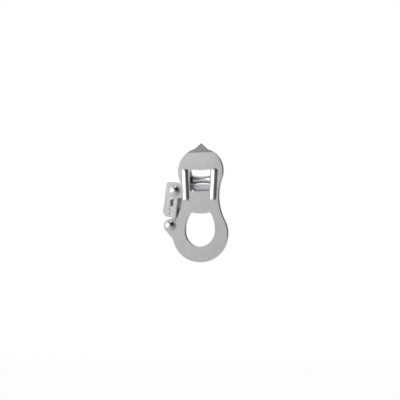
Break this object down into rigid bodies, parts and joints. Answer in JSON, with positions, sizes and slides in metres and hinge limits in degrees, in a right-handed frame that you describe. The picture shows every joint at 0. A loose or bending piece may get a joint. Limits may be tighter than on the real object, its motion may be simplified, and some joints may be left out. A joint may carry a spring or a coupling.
{
  "type": "belay device",
  "caption": "Belay device with a brushed gourd-shaped face plate, a carabiner eye, a rope window over a saddle-shaped spool, and a sprung side release lever with a brake shoe",
  "frame": {"origin": "centre of the carabiner eye, at mid-thickness of the face plate", "axes": "X across the face, to the right seen from the front; Y from the face to the back; Z along the device, from the eye to the beak"},
  "size_m": [0.07, 0.0279, 0.1192],
  "materials": {
    "plate": "brushed forging with tumbled edges",
    "cheek": "bead blasted",
    "spool": "turned and polished",
    "bush": "sintered bronze",
    "pin": "polished stainless steel",
    "washer": "oiled spring steel",
    "bracket": "bead blasted, in shadow",
    "strap": "satin",
    "ring": "satin",
    "spring": "oiled wire",
    "lever": "polished sheet",
    "pad": "moulded, cream",
    "arm": "milled",
    "shoe": "hardened, dark"
  },
  "bodies": {
    "device": {"body_plate": "plate", "left_cheek": "cheek", "right_cheek": "cheek", "spool_axle": "pin", "axle_washers": "washer", "axle_collar": "pin", "side_bracket": "bracket", "bracket_rivet": "pin", "pin_strap": "strap", "upper_pin": "pin", "lower_pin": "pin", "pin_rings": "ring", "pin_collars": "pin", "pivot_bush": "bush", "spacer_sleeve": "strap", "pivot_washers": "washer", "lever_spring": "spring"},
    "spool": {"rope_spool": "spool", "spool_bushes": "bush"},
    "lever": {"release_lever": "lever", "lever_pad": "pad", "pad_rivets": "pin", "brake_arm": "arm", "arm_rivet": "pin", "brake_shoe": "shoe", "shoe_screws": "pin"}
  },
  "joints": [
    {"name": "spool_spin", "type": "hinge", "parent": "device", "child": "spool", "pos_m": [0, 0.0066, 0.0508], "axis": [1, 0, 0], "continuous": true},
    {"name": "lever_release", "type": "hinge", "parent": "device", "child": "lever", "pos_m": [-0.0261, 0.0106, 0.0395], "axis": [0, 1, 0], "range_deg": [0, 28], "stiffness_Nm_per_rad": 0.12, "springref_deg": -28.65}
  ]
}
